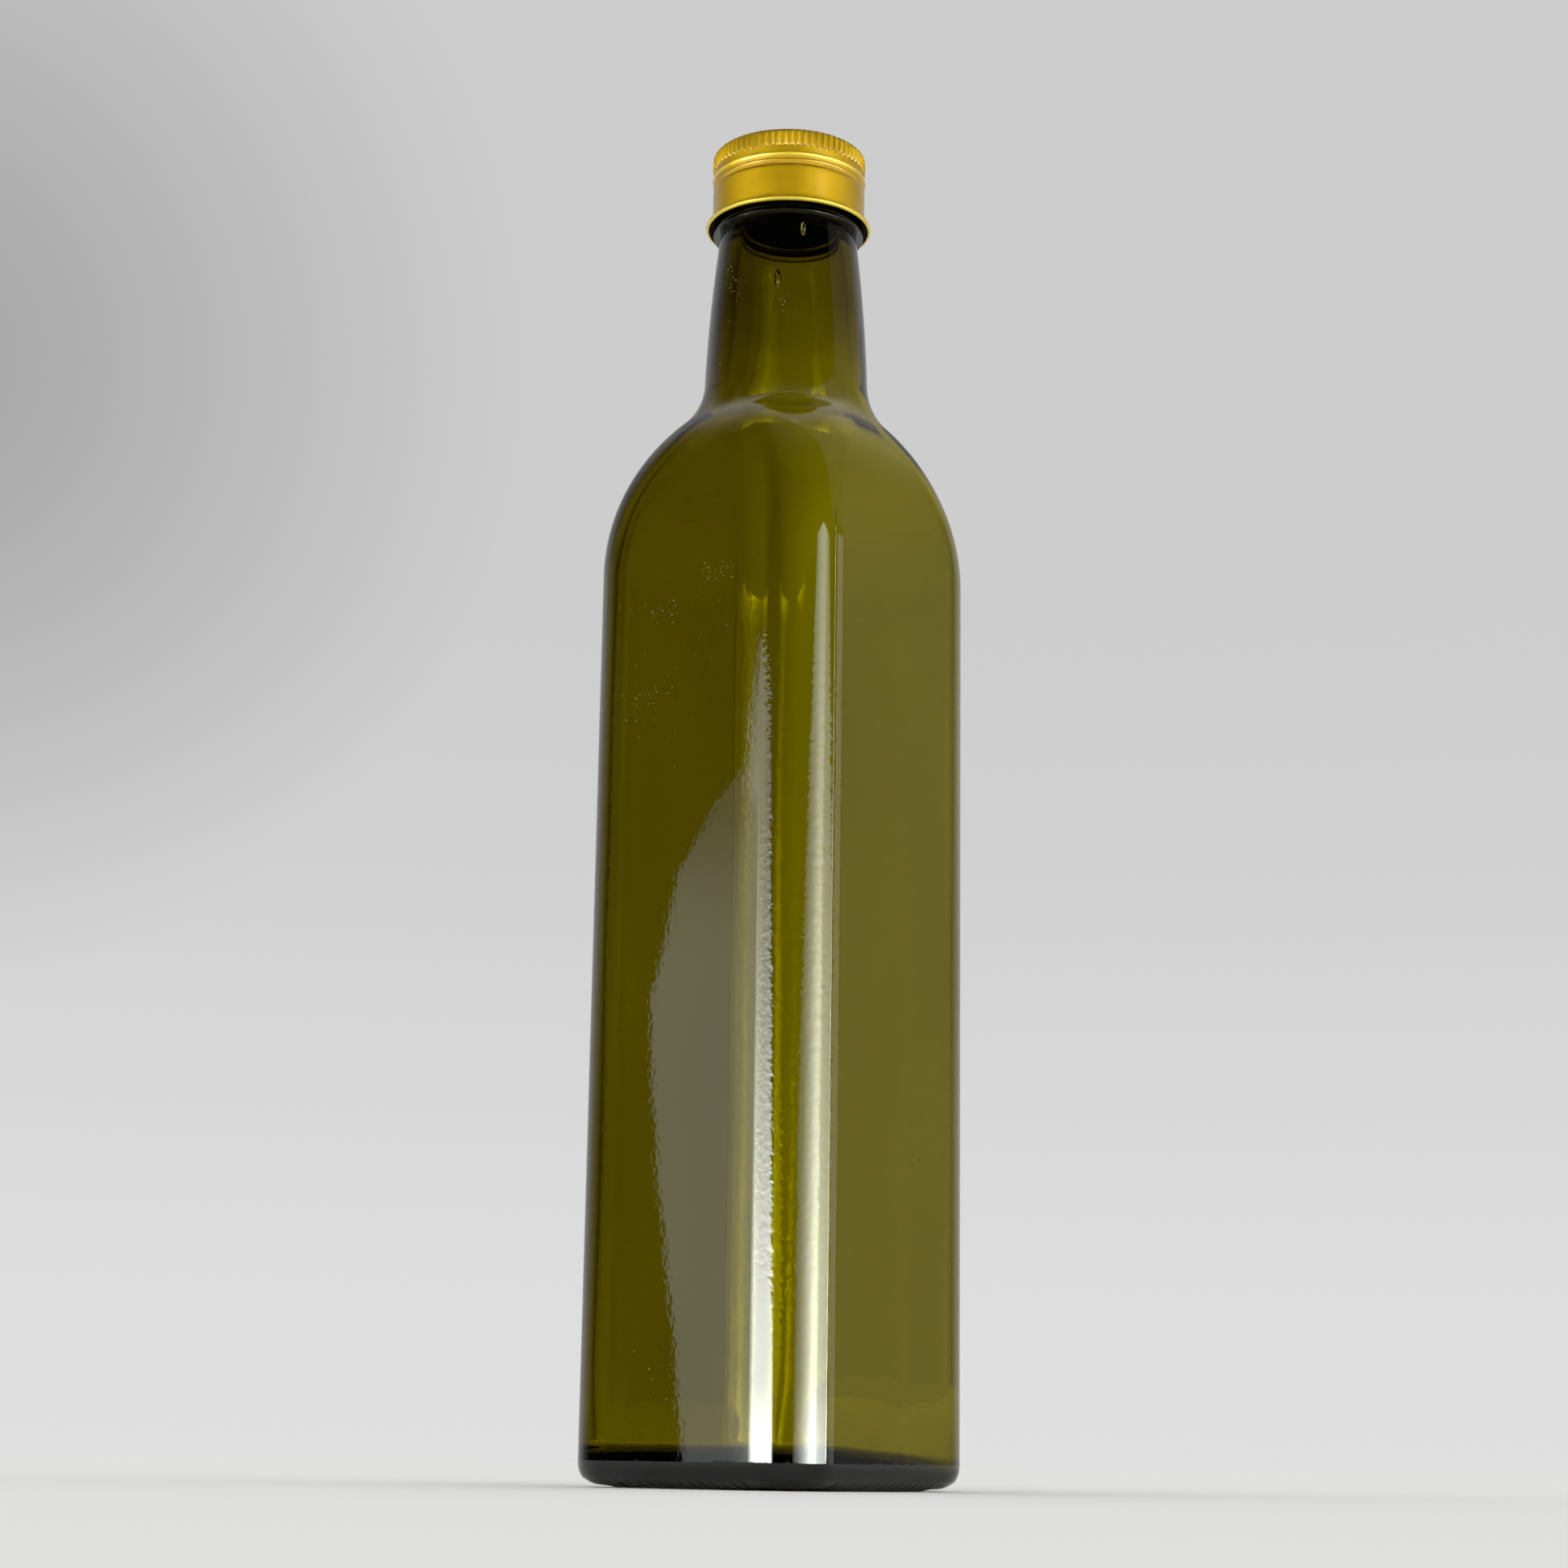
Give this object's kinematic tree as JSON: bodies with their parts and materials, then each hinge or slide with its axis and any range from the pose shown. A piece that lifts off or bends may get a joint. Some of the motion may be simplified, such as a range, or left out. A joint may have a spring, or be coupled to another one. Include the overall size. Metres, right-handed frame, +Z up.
{
  "type": "square glass oil bottle",
  "caption": "Tall square bottle of olive green glass with rounded corners, a domed shoulder, a long round neck and a gold aluminium screw cap; empty and closed.",
  "frame": {"origin": "middle of the base, on the plane that the bottle stands on", "axes": "+Z up along the bottle's axis; the four flat faces look along +X, -X, +Y and -Y"},
  "size_m": [0.057, 0.057, 0.267],
  "materials": {
    "glass": "olive green bottle glass, gloss",
    "cap": "gold lacquer, satin"
  },
  "bodies": {
    "root": {"bottle": "glass", "cap": "cap"}
  },
  "joints": []
}
